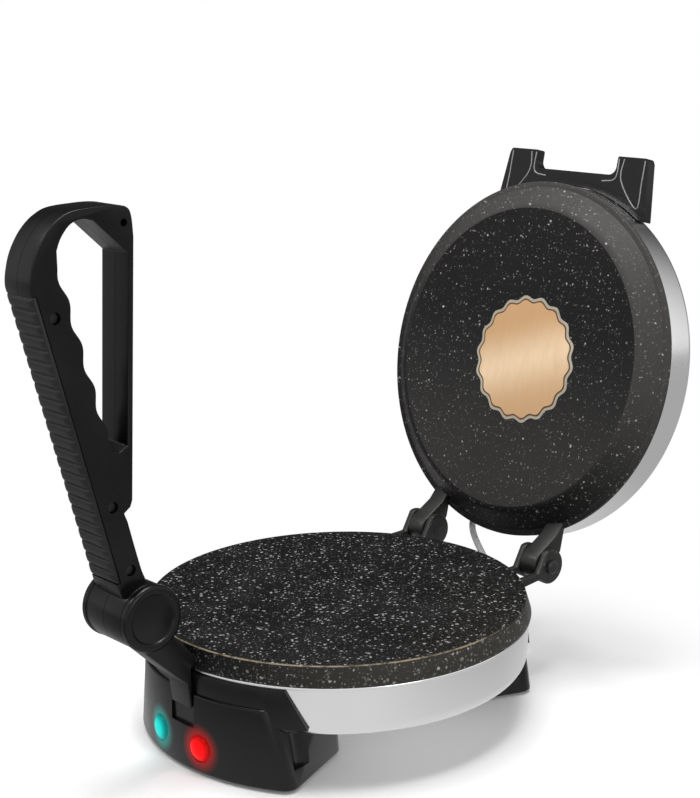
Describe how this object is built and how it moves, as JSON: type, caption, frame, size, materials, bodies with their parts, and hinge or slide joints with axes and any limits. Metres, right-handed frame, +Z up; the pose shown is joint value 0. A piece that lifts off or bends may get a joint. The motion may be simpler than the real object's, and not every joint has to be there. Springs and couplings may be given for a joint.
{
  "type": "electric roti maker",
  "caption": "Round countertop griddle with two heated plates, a hinged lid and a forked loop handle that presses the lid down.",
  "frame": {"origin": "centre of the bounding box's bottom face, on the worktop", "axes": "+Z up, -Y towards the handle and lamps, +Y towards the lid's hinge, +X to the right seen from the front"},
  "size_m": [0.25, 0.4611, 0.3494],
  "materials": {
    "granite_coating": "black speckled non-stick coating on cast metal",
    "polished_steel": "polished stainless sheet",
    "zinc_steel": "plain zinc-plated steel",
    "satin_black_plastic": "satin black heat-proof plastic",
    "grip_rubber": "soft black ribbed grip",
    "black_rubber": "matte black rubber",
    "heater_sheath": "heat-darkened steel tube",
    "white_ceramic": "unglazed white ceramic",
    "brown_bakelite": "brown moulded body",
    "green_lens": "clear green lens",
    "red_lens": "clear red lens",
    "seal_gold": "printed copper-gold seal",
    "grey_sleeve": "light grey heat-resistant sleeve"
  },
  "bodies": {
    "base": {"lower_plate": "granite_coating", "pan": "polished_steel", "front_stand": "satin_black_plastic", "rear_stand": "satin_black_plastic", "foot_front_left": "black_rubber", "foot_front_right": "black_rubber", "foot_rear_left": "black_rubber", "foot_rear_right": "black_rubber", "stand_screw_front_left": "zinc_steel", "stand_screw_front_right": "zinc_steel", "stand_screw_rear_left": "zinc_steel", "stand_screw_rear_right": "zinc_steel", "lamp_lens_left": "green_lens", "lamp_holder_left": "white_ceramic", "lamp_lens_right": "red_lens", "lamp_holder_right": "white_ceramic", "cord_gland": "black_rubber", "hinge_pin_left": "zinc_steel", "hinge_pin_right": "zinc_steel", "lower_heater": "heater_sheath", "lower_clamp_plate": "zinc_steel", "lower_clamp_bolt": "zinc_steel", "lower_clamp_nut": "zinc_steel", "thermostat": "brown_bakelite", "terminal_block": "white_ceramic", "pivot_bush": "zinc_steel", "pan_grommet": "black_rubber", "heater_lead": "grey_sleeve"},
    "lid": {"upper_plate": "granite_coating", "lid_shell": "polished_steel", "upper_heater": "heater_sheath", "upper_clamp_plate": "zinc_steel", "upper_clamp_bolt": "zinc_steel", "upper_clamp_nut": "zinc_steel", "lid_bracket": "satin_black_plastic", "bracket_screw_left": "zinc_steel", "bracket_screw_right": "zinc_steel", "seal_badge": "seal_gold", "lid_grommet": "black_rubber"},
    "handle": {"handle_shell_left": "satin_black_plastic", "handle_shell_right": "satin_black_plastic", "grip_pad": "grip_rubber", "pivot_bolt": "zinc_steel", "pivot_nut": "zinc_steel", "pivot_cap_right": "satin_black_plastic", "pivot_cap_left": "satin_black_plastic", "handle_screw_top": "zinc_steel", "handle_screw_middle": "zinc_steel", "handle_screw_bottom": "zinc_steel"}
  },
  "joints": [
    {"name": "lid_hinge", "type": "hinge", "parent": "base", "child": "lid", "pos_m": [0, 0.124, 0.0795], "axis": [1, 0, 0], "range_deg": [0, 104], "deforming": ["heater_lead"]},
    {"name": "handle_pivot", "type": "hinge", "parent": "base", "child": "handle", "pos_m": [0, -0.169, 0.111], "axis": [-1, 0, 0], "range_deg": [0, 70]}
  ]
}
